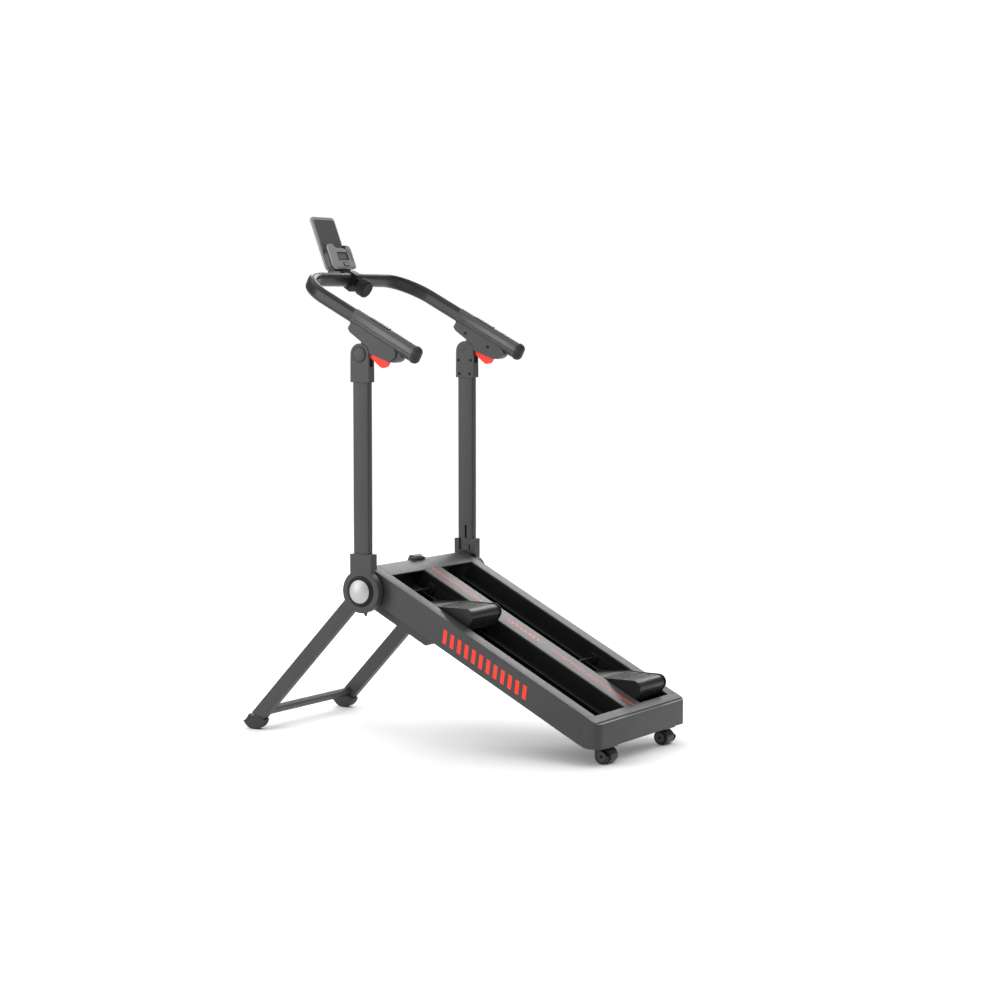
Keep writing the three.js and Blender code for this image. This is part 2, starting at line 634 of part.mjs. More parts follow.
// The grip lies in the bracket's hollow top edge; the trigger swings in a room under it.
function bracket() {
  const ahead = onArm(233, -12.5);
  const behind = onArm(220, -17);
  const lower = onArm(374, -14);
  const face = outline([
    [738.3, 1118.3, 4], [732, 1107.5, 4], [693, 1080.5, 3], [670, 1051], [606, 1029, 12], [581, 1045, 15],
    [lower.x, lower.y, 5], [ahead.x, ahead.y, 3], [behind.x, behind.y, 3],
  ]);
  const core = outline([
    [738.3, 1118.3, 4], [732, 1107.5, 4], [693, 1080.5, 3], [670, 1051], [606, 1028, 6], [584, 1027, 11],
    [567.5, 1041, 9], [lower.x - 10, lower.y - 5, 6], [ahead.x, ahead.y, 3], [behind.x, behind.y, 3],
  ]);
  const cradle = new THREE.ExtrudeGeometry(stadium(GRIP_TALL + 2 * GAP, GRIP_WIDE + 2 * GAP), {
    depth: 260, bevelEnabled: false, curveSegments: 10,
  }).applyMatrix4(new THREE.Matrix4().makeBasis(
    new THREE.Vector3(0, 0, 1), new THREE.Vector3(1, 0, 0), new THREE.Vector3(0, 1, 0)))
    .translate(POST_X, -470, 0).rotateX(BAR_SLOPE).translate(0, BAR_Y, BAR_Z);
  const body = solid(plate(face, 270, 275)).add(solid(plate(core, 249, 271))).subtract(solid(cradle));
  const clear = solid(rod(30.3, 240, 280, 36).translate(0, HUB_Y, HEAD_Z));
  const lug = solid(rod(27, 255.5, 269.5, 32).translate(0, HUB_Y, HEAD_Z));
  const neck = solid(plate(outline([[688, 1060], [702, 1066], [697, 1092], [668, 1078]]), 255.5, 269.5));
  const bore = solid(rod(6.3, 240, 290).translate(0, HUB_Y, HEAD_Z));
  const leverRoom = solid(plate(outline([
    [605, 1020], [603.5, 1035], [652, 1072], [667.5, 1072], [672, 1050], [672, 1020],
  ]), 252.5, 269.5));
  const all = body.subtract(clear).subtract(leverRoom).add(lug).add(neck.subtract(leverRoom)).subtract(bore);
  return surface(all.subtract(solid(rod(2.2, 247, 274).translate(0, 659, 1057))));
}
pair(machine, 'bracket', bracket(), finish.frame);

function releaseTrigger() {
  const shape = outline([
    [671.5, 1041.5, 2], [669.5, 1052, 2], [664, 1061.5, 3], [654, 1061.5, 4], [611.5, 1030.5, 2],
    [619.5, 1016.5, 3], [631.5, 1012.2, 4], [639, 1015, 3],
  ]);
  return join(plate(shape, 256, 268.5), rod(1.9, 249.5, 273.5).translate(0, 659, 1057));
}
pair(machine, 'release_trigger', releaseTrigger(), finish.red);

// ---------- console clamp and knob, on the crossbar ----------
const TILT_BACK = 27.3; // console's tilt axis, behind and above the crossbar's centre
const TILT_UP = 4.2;
const KNOB_UP = -1; // knob's axis, above the crossbar's centre
function consoleClamp() {
  const body = solid(plate(outline([
    [-19, -29, 5], [15.5, -25, 8], [15.5, 23.5, 8], [-19, 23.5, 5],
  ]), -15, 15));
  const hole = new THREE.Shape();
  const round = BAR_WIDE / 2 + GAP;
  const half = (BAR_TALL - BAR_WIDE) / 2;
  hole.absarc(0, half, round, 0, Math.PI);
  hole.absarc(0, -half, round, Math.PI, 2 * Math.PI);
  const cheeks = solid(plate(outline([
    [14, 0], [TILT_BACK, TILT_UP - 8], [TILT_BACK + 8, TILT_UP - 8, 7], [TILT_BACK + 8, TILT_UP + 8, 7],
    [14, TILT_UP + 8],
  ]), -15, 15));
  const gap = solid(block(-9.8, 9.8, TILT_BACK - 8, TILT_BACK + 12, TILT_UP - 20, TILT_UP + 20));
  const pin = solid(rod(2.8, -30, 30).translate(0, TILT_BACK, TILT_UP));
  const boss = solid(new THREE.CylinderGeometry(10, 13, 17, 20).translate(0, -26, KNOB_UP));
  const thread = solid(new THREE.CylinderGeometry(5.3, 5.3, 30, 20).translate(0, -31, KNOB_UP));
  return surface(body.add(cheeks).add(boss).subtract(solid(plate(hole, -30, 30))).subtract(gap)
    .subtract(pin).subtract(thread));
}
place(bar, 'console_clamp', consoleClamp(), finish.black);

function knob() {
  const lobes = 16;
  const steps = 6 * lobes;
  const shape = new THREE.Shape();
  for (let i = 0; i < steps; i += 1) {
    const angle = (i / steps) * 2 * Math.PI;
    const radius = 24.4 + 0.6 * Math.cos(lobes * angle);
    if (i === 0) shape.moveTo(radius, 0);
    else shape.lineTo(radius * Math.cos(angle), radius * Math.sin(angle));
  }
  shape.closePath();
  const wheel = rail(shape, -60, -35);
  const neck = new THREE.CylinderGeometry(5, 5, 20, 24).translate(0, -27, 0);
  return join(wheel, neck);
}
place(bar, 'clamp_knob', knob(), finish.black, 0, 0, KNOB_UP);

// ---------- console: two shells, display, button, and the device it holds ----------
const CONSOLE_TILT = THREE.MathUtils.degToRad(-21);
const hinge = onArm(-TILT_BACK, TILT_UP);
const consoleGroup = new THREE.Group();
consoleGroup.position.set(0, hinge.x, hinge.y);
consoleGroup.rotation.x = CONSOLE_TILT;
machine.add(consoleGroup);

const FACE_Y = -8.3; // console's front face, from its tilt axis
const FACE_LOW = 14;
const FACE_HALF = 54;
const DEVICE_Y = FACE_Y + 23; // front of the device

// The face has two ears, the left one a little taller, with a notch between them.
function consoleFront() {
  const low = FACE_LOW;
  const half = FACE_HALF;
  const front = solid(rail(outline([
    [-half, low, 13], [half, low, 11], [half, low + 69, 16], [25, low + 69, 6], [21, low + 61, 4],
    [-20, low + 61, 5], [-26, low + 73, 9], [-half, low + 73, 12],
  ]), FACE_Y, FACE_Y + 6, 6));
  const display = solid(rail(rectangle(-18.3, 28.3, low + 26.2, low + 47.8, 2), FACE_Y - 1, FACE_Y + 8));
  const button = solid(rail(rectangle(-4.3, 20.3, low + 7.7, low + 18.3, 4), FACE_Y - 1, FACE_Y + 8));
  return surface(front.subtract(display).subtract(button));
}
place(consoleGroup, 'console_front', consoleFront(), finish.console);
place(consoleGroup, 'display', rail(rectangle(-18, 28, FACE_LOW + 26.5, FACE_LOW + 47.5, 2),
  FACE_Y + 1.8, FACE_Y + 5.8), finish.screen);
place(consoleGroup, 'console_button', rail(rectangle(-4, 20, FACE_LOW + 8, FACE_LOW + 18, 4),
  FACE_Y - 0.8, FACE_Y + 4.4), finish.console);

function consoleBack() {
  const low = FACE_LOW;
  const half = FACE_HALF - 1;
  const back = DEVICE_Y + 8.8;
  const shell = solid(rail(rectangle(-half, half, low + 1, low + 56, 12), FACE_Y + 6.3, DEVICE_Y - 0.5, 6));
  const hollow = solid(rail(rectangle(-46, 46, low + 6, low + 51, 6), FACE_Y + 6, FACE_Y + 17));
  const shelf = solid(rail(rectangle(-40, 40, low - 5, low + 3, 2), FACE_Y + 12, back + 3));
  const lip = solid(rail(rectangle(-40, 40, low - 5, low + 21, 4), back, back + 3));
  const knuckle = solid(rod(6, -9.5, 9.5));
  const stalk = solid(block(-9.5, 9.5, FACE_Y + 6.3, 6, 0, low + 4));
  const pin = solid(rod(2.5, -14.8, 14.8));
  return surface(shell.subtract(hollow).add(shelf).add(lip).add(knuckle).add(stalk).add(pin));
}
place(consoleGroup, 'console_back', consoleBack(), finish.cover);

const DEVICE_WIDE = 110;
const DEVICE_TALL = 160;
const DEVICE_LOW = FACE_LOW + 3 + GAP;
place(consoleGroup, 'device', rail(
  rectangle(-DEVICE_WIDE / 2, DEVICE_WIDE / 2, DEVICE_LOW, DEVICE_LOW + DEVICE_TALL, 12), DEVICE_Y, DEVICE_Y + 8.3,
), finish.glass);

// ---------- legs ----------
const legs = new THREE.Group();
legs.position.set(0, LEG_Y, LEG_Z);
legs.rotation.x = -LEG_DROP; // the legs' length is their own +Y
machine.add(legs);

function leg() {
  const shape = new THREE.Shape();
  shape.moveTo(0, -20);
  shape.lineTo(LEG_LENGTH, -20);
  shape.lineTo(LEG_LENGTH, 20);
  shape.lineTo(0, 20);
  shape.absarc(0, 0, 20, Math.PI / 2, 1.5 * Math.PI);
  const bore = block(LEG_X - 8.2, LEG_X + 8.2, 22, LEG_LENGTH + 1, -18.2, 18.2);
  const stud = rod(STUD_R, LEG_X - 22, LEG_X + 11.5, 24);
  return join(cut(plate(shape, LEG_X - 10, LEG_X + 10, 10), bore), stud);
}
pair(legs, 'leg', leg(), finish.frame);

const CROSSBAR_ALONG = 484;
function crossbarOutline(extra) {
  return rectangle(CROSSBAR_ALONG - 12.5 - extra, CROSSBAR_ALONG + 12.5 + extra, -4 - extra, 12 + extra, 3);
}
place(legs, 'leg_crossbar', plate(crossbarOutline(0), -LEG_X + 10.3, LEG_X - 10.3), finish.frame);

// A rubber boot over the tube's end, round underneath so that it stands at any leg angle.
const FOOT_Y = 1097;
const FOOT_R = 38;
function foot() {
  const shape = new THREE.Shape();
  shape.moveTo(1060, 28);
  shape.absarc(FOOT_Y, FOOT_R, FOOT_R, Math.PI + 0.27, 2 * Math.PI - 0.53);
  shape.lineTo(1134.5, 19.5);
  shape.quadraticCurveTo(1121, 24, 1112, 42);
  shape.quadraticCurveTo(1100, 36, 1088, 37);
  shape.quadraticCurveTo(1070, 36, 1060, 28);
  return plate(shape, LEG_X - 13.5, LEG_X + 13.5, 7);
}
function footWithSocket() {
  const socket = block(LEG_X - 10.3, LEG_X + 10.3, 300, LEG_LENGTH + GAP, -20.3, 20.3);
  const crossbarRoom = plate(crossbarOutline(GAP), LEG_X - 15, LEG_X - 9);
  const fit = (tool) => tool.rotateX(-LEG_DROP).translate(0, LEG_Y, LEG_Z);
  return cut(foot(), fit(socket), fit(crossbarRoom));
}
pair(machine, 'foot', footWithSocket(), finish.rubber);

export default machine;
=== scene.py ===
# Folding inclined stepper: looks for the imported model, in metres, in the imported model's own frame.
import json
import math
from math import cos, pi, radians, sin

import bmesh
import bpy
from mathutils import Matrix, Vector

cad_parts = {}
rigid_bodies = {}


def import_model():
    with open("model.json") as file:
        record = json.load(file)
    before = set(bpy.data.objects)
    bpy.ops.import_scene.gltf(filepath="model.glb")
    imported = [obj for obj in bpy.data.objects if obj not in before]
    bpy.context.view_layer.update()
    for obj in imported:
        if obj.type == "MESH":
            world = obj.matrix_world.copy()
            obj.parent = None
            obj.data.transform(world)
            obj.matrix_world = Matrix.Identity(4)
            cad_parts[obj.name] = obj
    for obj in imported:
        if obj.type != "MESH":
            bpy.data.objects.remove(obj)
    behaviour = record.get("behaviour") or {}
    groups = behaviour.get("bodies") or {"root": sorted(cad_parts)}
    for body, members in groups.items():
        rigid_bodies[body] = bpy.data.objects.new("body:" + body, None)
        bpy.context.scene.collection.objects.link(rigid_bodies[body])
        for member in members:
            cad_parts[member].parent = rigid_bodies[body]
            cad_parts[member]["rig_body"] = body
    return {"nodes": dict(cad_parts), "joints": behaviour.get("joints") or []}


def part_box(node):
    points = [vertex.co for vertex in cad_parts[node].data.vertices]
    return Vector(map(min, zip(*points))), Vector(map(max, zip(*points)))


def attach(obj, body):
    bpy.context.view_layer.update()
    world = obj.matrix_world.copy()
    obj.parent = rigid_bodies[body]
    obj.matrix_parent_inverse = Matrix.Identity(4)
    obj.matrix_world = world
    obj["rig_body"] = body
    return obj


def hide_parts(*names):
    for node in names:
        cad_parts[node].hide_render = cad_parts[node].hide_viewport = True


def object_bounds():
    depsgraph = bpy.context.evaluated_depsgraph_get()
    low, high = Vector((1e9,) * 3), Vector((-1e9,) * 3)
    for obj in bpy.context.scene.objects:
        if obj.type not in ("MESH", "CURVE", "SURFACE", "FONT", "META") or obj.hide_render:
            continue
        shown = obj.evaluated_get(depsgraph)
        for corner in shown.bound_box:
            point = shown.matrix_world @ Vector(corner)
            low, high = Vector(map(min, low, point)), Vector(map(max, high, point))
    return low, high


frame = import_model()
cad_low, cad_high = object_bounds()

SIDES = {"left": -1, "right": 1}
MM = 0.001

# ---------- camera, light, floor ----------
CAMERA_PLACE = (-5.5628, -3.5164, 1.1770)
CAMERA_TURN = radians(-58.67)
CAMERA_DOWN = radians(4.6)
CAMERA_LENS = 86.87


def make_camera():
    data = bpy.data.cameras.new("camera")
    data.lens = CAMERA_LENS
    data.sensor_width = 36
    data.clip_start = 0.05
    data.clip_end = 200
    camera = bpy.data.objects.new("camera", data)
    camera.location = CAMERA_PLACE
    camera.rotation_euler = (pi / 2 - CAMERA_DOWN, 0, CAMERA_TURN)
    bpy.context.scene.collection.objects.link(camera)
    bpy.context.scene.camera = camera


def add_light(name, kind, strength, aim_from, **settings):
    """A light that shines towards the middle of the object from the point aim_from."""
    data = bpy.data.lights.new(name, kind)
    data.energy = strength
    for key, value in settings.items():
        setattr(data, key, value)
    light = bpy.data.objects.new(name, data)
    light.location = aim_from
    middle = (cad_low + cad_high) / 2
    light.rotation_euler = (middle - Vector(aim_from)).to_track_quat("-Z", "Y").to_euler()
    light.visible_camera = False
    bpy.context.scene.collection.objects.link(light)


def make_lights():
    add_light("overhead", "SUN", 2.0, (-1.2, 0.6, 6), angle=radians(110))
    add_light("far_softbox", "AREA", 150, (4.4, 1.6, 3.2), shape="RECTANGLE", size=4.5, size_y=1.6)
    add_light("left_softbox", "AREA", 110, (-4.2, 3.6, 1.8), shape="RECTANGLE", size=3.0, size_y=2.4)


def make_world():
    """A pale room: white where it is seen, dim in reflections, and softly lighting the object."""
    world = bpy.data.worlds.new("room")
    world.use_nodes = True
    nodes, links = world.node_tree.nodes, world.node_tree.links
    nodes.clear()
    output = nodes.new("ShaderNodeOutputWorld")
    path = nodes.new("ShaderNodeLightPath")
    shades = []
    for strength in (0.62, 0.24, 1.0):
        shade = nodes.new("ShaderNodeBackground")
        shade.inputs["Color"].default_value = (1, 1, 1, 1)
        shade.inputs["Strength"].default_value = strength
        shades.append(shade.outputs[0])
    lit, mirrored, seen = shades
    below = lit
    for ray, shade in (("Is Glossy Ray", mirrored), ("Is Camera Ray", seen)):
        mix = nodes.new("ShaderNodeMixShader")
        links.new(path.outputs[ray], mix.inputs[0])
        links.new(below, mix.inputs[1])
        links.new(shade, mix.inputs[2])
        below = mix.outputs[0]
    links.new(below, output.inputs["Surface"])
    bpy.context.scene.world = world
    bpy.context.scene.view_settings.view_transform = "Standard"


make_camera()
make_lights()
make_world()


# ---------- materials ----------
def shader_of(name):
    material = bpy.data.materials.new(name)
    material.use_nodes = True
    return material, material.node_tree.nodes, material.node_tree.links


def noise(nodes, links, scale, detail=3, stretch=(1, 1, 1), roughness=0.55):
    """A noise pattern in the object's own coordinates; scale is its features in one metre."""
    place = nodes.new("ShaderNodeTexCoord")
    mapping = nodes.new("ShaderNodeMapping")
    mapping.inputs["Scale"].default_value = stretch
    pattern = nodes.new("ShaderNodeTexNoise")
    pattern.inputs["Scale"].default_value = scale
    pattern.inputs["Detail"].default_value = detail
    pattern.inputs["Roughness"].default_value = roughness
    links.new(place.outputs["Object"], mapping.inputs["Vector"])
    links.new(mapping.outputs["Vector"], pattern.inputs["Vector"])
    return pattern.outputs["Fac"]


def ramp(nodes, links, source, low, high):
    """Colours or greys from low to high over the middle of the source's range."""
    band = nodes.new("ShaderNodeValToRGB")
    for element, place, value in zip(band.color_ramp.elements, (0.3, 0.7), (low, high)):
        element.position = place
        element.color = (*value, 1) if isinstance(value, tuple) else (value, value, value, 1)
    links.new(source, band.inputs["Fac"])
    return band.outputs["Color"]


def bump(nodes, links, height, strength, depth):
    raised = nodes.new("ShaderNodeBump")
    raised.inputs["Strength"].default_value = strength
    raised.inputs["Distance"].default_value = depth
    links.new(height, raised.inputs["Height"])
    return raised.outputs["Normal"]


PATCH_SCALE = 6
SCUFF_SCALE = 54
GRAIN_DEPTH = 0.0002


def coat(name, dark, light, rough, grain=900, grain_strength=0.25, metallic=0.0, specular=0.5, sheen=0.0,
         clear=0.0, stretch=(1, 1, 1)):
    """A coated or moulded surface: uneven colour and gloss over a fine grain."""
    material, nodes, links = shader_of(name)
    shader = nodes["Principled BSDF"]
    shader.inputs["Metallic"].default_value = metallic
    shader.inputs["Specular IOR Level"].default_value = specular
    shader.inputs["Sheen Weight"].default_value = sheen
    shader.inputs["Coat Weight"].default_value = clear
    shader.inputs["Coat Roughness"].default_value = 0.18
    patches = noise(nodes, links, PATCH_SCALE, detail=5)
    links.new(ramp(nodes, links, patches, dark, light), shader.inputs["Base Color"])
    scuffs = noise(nodes, links, SCUFF_SCALE, detail=6, stretch=stretch, roughness=0.7)
    links.new(ramp(nodes, links, scuffs, rough[0], rough[1]), shader.inputs["Roughness"])
    grains = noise(nodes, links, grain, detail=2, stretch=stretch)
    links.new(bump(nodes, links, grains, grain_strength, GRAIN_DEPTH), shader.inputs["Normal"])
    return material


LOOKS = {
    "frame": coat("frame", (0.034, 0.034, 0.035), (0.041, 0.041, 0.042), (0.42, 0.47), grain=1100,
                  specular=0.34),
    "cover": coat("cover", (0.050, 0.050, 0.051), (0.058, 0.058, 0.059), (0.41, 0.46), grain=1100,
                  specular=0.34),
    "black": coat("black", (0.006, 0.006, 0.006), (0.010, 0.010, 0.010), (0.46, 0.60), grain=1400,
                  specular=0.22),
    "rubber": coat("rubber", (0.011, 0.011, 0.011), (0.017, 0.017, 0.017), (0.50, 0.68), grain=2200,
                   grain_strength=0.4, specular=0.4, sheen=0.05),
    "satin": coat("satin", (0.010, 0.010, 0.010), (0.015, 0.015, 0.015), (0.30, 0.36), grain=1300,
                  grain_strength=0.12, specular=0.34),
    "pedal": coat("pedal", (0.010, 0.010, 0.010), (0.015, 0.015, 0.015), (0.34, 0.46), grain=1600,
                  grain_strength=0.3, specular=0.30),
    "roller": coat("roller", (0.006, 0.006, 0.006), (0.009, 0.009, 0.009), (0.62, 0.72), specular=0.2),
    "silver": coat("silver", (0.44, 0.44, 0.45), (0.48, 0.48, 0.49), (0.50, 0.54), grain=900,
                   grain_strength=0.02, metallic=1.0, stretch=(1, 6, 6)),
    "grip": coat("grip", (0.040, 0.040, 0.041), (0.048, 0.048, 0.049), (0.30, 0.38), grain=1500,
                 grain_strength=0.15),
    # light diffuse grey for the silver pulse-sensor ribs: partly the metal's own tone, partly painted
    # reflection
    "sensor": coat("sensor", (0.62, 0.62, 0.63), (0.68, 0.68, 0.69), (0.30, 0.36), metallic=0.1),
    # darkish steel for the shafts, flywheel and screws down in the deck's channel: partly the steel's own
    # tone, partly painted shade of the channel
    "steel": coat("steel", (0.34, 0.34, 0.35), (0.46, 0.46, 0.47), (0.28, 0.42), grain=900,
                  grain_strength=0.12, metallic=1.0, stretch=(1, 7, 7)),
    "red": coat("red", (0.80, 0.030, 0.014), (0.92, 0.042, 0.020), (0.38, 0.50), grain=1500,
                grain_strength=0.12, specular=0.25),
    "console": coat("console", (0.180, 0.182, 0.186), (0.205, 0.207, 0.212), (0.40, 0.50), grain=1700,
                    grain_strength=0.15),
    "screen": coat("screen", (0.085, 0.088, 0.092), (0.098, 0.101, 0.105), (0.20, 0.28), grain=400,
                   grain_strength=0.03, clear=0.3),
    "glass": coat("glass", (0.058, 0.058, 0.060), (0.066, 0.066, 0.068), (0.10, 0.16), grain=300,
                  grain_strength=0.02, clear=0.5),
}


# ---------- shapes: each is a bmesh in millimetres in its own frame ----------
def rounded(corners, closed=True):
    """Points of an outline whose corners [u, v] or [u, v, radius] are true arcs."""
    points = []
    count = len(corners)
    for i, corner in enumerate(corners):
        here, radius = Vector(corner[:2]), corner[2] if len(corner) > 2 else 0
        if radius == 0 or (not closed and i in (0, count - 1)):
            points.append(here)
            continue
        before = (Vector(corners[i - 1][:2]) - here).normalized()
        after = (Vector(corners[(i + 1) % count][:2]) - here).normalized()
        half = before.angle(after) / 2
        reach = radius / math.tan(half)
        middle = here + (before + after).normalized() * (radius / sin(half))
        start, end = here + before * reach - middle, here + after * reach - middle
        turn = math.atan2(start.x * end.y - start.y * end.x, start.dot(end))
        steps = max(3, math.ceil(abs(turn) / radians(9)))
        base = math.atan2(start.y, start.x)
        points += [middle + radius * Vector((cos(base + turn * k / steps), sin(base + turn * k / steps)))
                   for k in range(steps + 1)]
    return points


def arc(centre, radius, start, end, steps=32):
    """Points of an arc, its angles in degrees."""
    return [Vector((centre[0] + radius * cos(radians(start + (end - start) * k / steps)),
                    centre[1] + radius * sin(radians(start + (end - start) * k / steps))))
            for k in range(steps + 1)]


def stadium(length, width, steps=16, flat=1):
    """A slot outline, its length along u, each straight side cut into flat lengths."""
    half = (length - width) / 2
    between = [half - 2 * half * k / flat for k in range(1, flat)]
    return (arc((half, 0), width / 2, -90, 90, steps) + [Vector((u, width / 2)) for u in between]
            + arc((-half, 0), width / 2, 90, 270, steps) + [Vector((-u, -width / 2)) for u in between])


def loft(rings, capped=True):
    """A skin through rings of equal point counts."""
    shape = bmesh.new()
    rows = [[shape.verts.new(p) for p in ring] for ring in rings]
    for low, high in zip(rows, rows[1:]):
        for k in range(len(low)):
            after = (k + 1) % len(low)
            shape.faces.new((low[k], low[after], high[after], high[k]))
    if capped:
        shape.faces.new(list(reversed(rows[0])))
        shape.faces.new(rows[-1])
    bmesh.ops.recalc_face_normals(shape, faces=shape.faces)
    return shape


def prism(outline, low, high, along="x"):
    """An outline made thick along x (outline in y, z), along y (x, z) or along z (x, y)."""
    spread = {"x": lambda p, t: (t, p[0], p[1]), "y": lambda p, t: (p[0], t, p[1]),
              "z": lambda p, t: (p[0], p[1], t)}[along]
    return loft([[spread(p, t) for p in outline] for t in (low, high)])


def lathe(profile, steps=72):
    """A turned piece about x; the profile is [x, radius], and a radius of 0 closes it."""
    shape = bmesh.new()
    rows = []
    for x, radius in profile:
        if radius == 0:
            rows.append([shape.verts.new((x, 0, 0))])
        else:
            turns = [2 * pi * k / steps for k in range(steps)]
            rows.append([shape.verts.new((x, radius * cos(a), radius * sin(a))) for a in turns])
    for low, high in zip(rows, rows[1:]):
        for k in range(steps):
            after = (k + 1) % steps
            ring = [low[k % len(low)], low[after % len(low)], high[after % len(high)], high[k % len(high)]]
            corners = list(dict.fromkeys(ring))
            if len(corners) > 2:
                shape.faces.new(corners)
    bmesh.ops.recalc_face_normals(shape, faces=shape.faces)
    return shape


def join(*shapes):
    """Several closed shapes in one mesh."""
    whole = bmesh.new()
    for shape in shapes:
        part = bpy.data.meshes.new("part")
        shape.to_mesh(part)
        shape.free()
        whole.from_mesh(part)
        bpy.data.meshes.remove(part)
    return whole


def moved(shape, matrix):
    shape.transform(matrix)
    if matrix.determinant() < 0:
        bmesh.ops.reverse_faces(shape, faces=shape.faces)
    return shape


def at(x=0, y=0, z=0):
    return Matrix.Translation((x, y, z))


MIRROR = {-1: Matrix.Diagonal((-1, 1, 1, 1)), 1: Matrix.Identity(4)}


# ---------- pieces ----------
def soften(thing, width, segments, sharp):
    """Rounded edges, which catch the light as real edges do."""
    if width:
        edge = thing.modifiers.new("edges", "BEVEL")
        edge.width = width * MM
        edge.segments = segments
        edge.limit_method = "ANGLE"
        edge.angle_limit = radians(sharp)
        edge.harden_normals = True
        edge.use_clamp_overlap = True


def piece(name, shape, look, body, where=None, replaces=(), bevel=0.0, segments=2, sharp=32, metres=False):
    """One mesh of the object: shape is in millimetres in the frame where, or already in metres."""
    if not metres:
        moved(shape, (where or Matrix.Identity(4)) @ Matrix.Scale(MM, 4))
    mesh = bpy.data.meshes.new(name)
    shape.to_mesh(mesh)
    shape.free()
    if "custom_normal" in mesh.attributes:
        mesh.attributes.remove(mesh.attributes["custom_normal"])
    mesh.shade_smooth()
    if not bevel:
        mesh.set_sharp_from_angle(angle=radians(sharp))
    mesh.materials.clear()
    mesh.materials.append(LOOKS[look])
    thing = bpy.data.objects.new(name, mesh)
    bpy.context.scene.collection.objects.link(thing)
    soften(thing, bevel, segments, sharp)
    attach(thing, body)
    if replaces:
        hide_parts(*replaces)
    return thing


def shell(node, look, bevel=0.8, segments=2, sharp=32):
    """A CAD node's own shape with clean faces and rounded edges."""
    source = frame["nodes"][node]
    shape = bmesh.new()
    shape.from_mesh(source.data)
    bmesh.ops.remove_doubles(shape, verts=shape.verts, dist=2e-6)
    bmesh.ops.dissolve_limit(shape, angle_limit=radians(0.4), verts=shape.verts, edges=shape.edges)
    for face in shape.faces:
        face.material_index = 0
    return piece(f"{node}_shell", shape, look, source["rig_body"], replaces=(node,), bevel=bevel,
                 segments=segments, sharp=sharp, metres=True)


def shells(names, look, **settings):
    for name in names:
        shell(name, look, **settings)


def both(name):
    return [f"{side}_{name}" for side in SIDES]


# ---------- the frames that the sub-parts lie in, from the joints and boxes ----------
def joint(name):
    return next(j for j in frame["joints"] if j["name"] == name)


def pivot(name):
    return Vector(joint(name)["pos_m"])


def axes(origin, along):
    """A frame with x to the user's right and y along a slope."""
    x, y = Vector((1, 0, 0)), Vector(along).normalized()
    return Matrix.Translation(origin) @ Matrix((x, y, x.cross(y))).transposed().to_4x4()


DECK_HIGH = 789  # the side beams' upper end, along the deck
DECK_DEEP = 75
DECK_HALF = 245
CHANNEL_IN = 42
CHANNEL_OUT = 202
SLOPE_AXIS = Vector(joint("left_slide")["axis"])
SLOPE = math.atan2(SLOPE_AXIS.z, SLOPE_AXIS.y)


def deck_frame():
    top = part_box("left_side_beam")[1]
    high_end = Vector((0, top.y - DECK_DEEP * MM * SLOPE_AXIS.z, top.z))
    return axes(high_end - DECK_HIGH * MM * SLOPE_AXIS, SLOPE_AXIS)


def bar_frame():
    knob = pivot("knob_turn")
    along = -Vector(joint("knob_turn")["axis"])
    knob_ahead, knob_rise = 46, -1
    here = axes(knob, along)
    return here @ at(0, knob_ahead * MM, -knob_rise * MM)


DECK = deck_frame()
BAR = bar_frame()
CONSOLE = axes(pivot("console_tilt"), joint("button_press")["axis"])
HUB = at(*pivot("post_fold"))
HEAD = at(*pivot("handle_fold"))


def on_side(where, side):
    return where @ MIRROR[side]


def tube(points, radius, sides=10):
    """A round line through points, with flat ends."""
    path = [Vector(p) for p in points]
    rings = []
    for i, point in enumerate(path):
        along = (path[min(i + 1, len(path) - 1)] - path[max(i - 1, 0)]).normalized()
        across = along.orthogonal() if i == 0 else across - along * across.dot(along)
        across.normalize()
        up = along.cross(across)
        rings.append([point + radius * (across * cos(2 * pi * k / sides) + up * sin(2 * pi * k / sides))
                      for k in range(sides)])
    return loft(rings)


def band(outer, inner, low, high):
    """A flat ring between two outlines of equal point counts, thick along y, in x and z."""
    rows = [(outer, low), (outer, high), (inner, high), (inner, low), (outer, low)]
    shape = loft([[(p[0], y, p[1]) for p in outline] for outline, y in rows], capped=False)
    bmesh.ops.remove_doubles(shape, verts=shape.verts, dist=1e-6)
    bmesh.ops.recalc_face_normals(shape, faces=shape.faces)
    return shape


def box_outline(u0, u1, v0, v1, radius):
    return rounded([[u0, v0, radius], [u1, v0, radius], [u1, v1, radius], [u0, v1, radius]])


def screw(radius=4.2, high=1.8):
    """A round-headed screw with a round socket, its head towards -x."""
    socket = radius * 0.42
    return lathe([(0, 0), (0, radius), (-high * 0.45, radius), (-high * 0.85, radius * 0.82),
                  (-high, radius * 0.62), (-high, socket), (-high * 0.35, socket), (-high * 0.35, 0)], 48)


# ---------- deck ----------
def deck_shells():
    shells(both("side_beam"), "frame", bevel=0.9, segments=3)
    shells(["centre_beam", "high_end_cover"], "cover", bevel=0.8, segments=3)
    shells(["end_cap"], "frame", bevel=0.8, segments=3)
    shells(["resistance_housing"], "frame", bevel=1.2)
    shells(both("track"), "black", bevel=0.5)
    ledge_strips()
    shells(["release_lever"], "cover", bevel=3.4, segments=5)
    shells(both("pedal_belt") + ["step_up_belt"], "rubber", bevel=0)
    # their steel is kept dark: partly its own tone, partly painted shade of the deck's channel
    shells(["drive_shaft", "idler_shaft", "flywheel"], "steel", bevel=0.4)


def ledge_strips():
    """A thin strip along the free edge of each ledge that the rollers run on."""
    inner, outer, low, high = 64.7, 179.3, -48.4, -45.2
    for word, side in SIDES.items():
        edges = [prism(box_outline(x - 0.9, x + 0.9, low, high, 0.6), 26, 729, "y") for x in (inner, outer)]
        piece(f"{word}_ledge_strips", join(*edges), "frame", "deck", on_side(DECK, side))


def slanted_mark(start, width, low, high, lean):
    """A leaning bar, in distance up the deck and height."""
    return [(start, low), (start + width, low), (start + width + lean, high), (start + lean, high)]


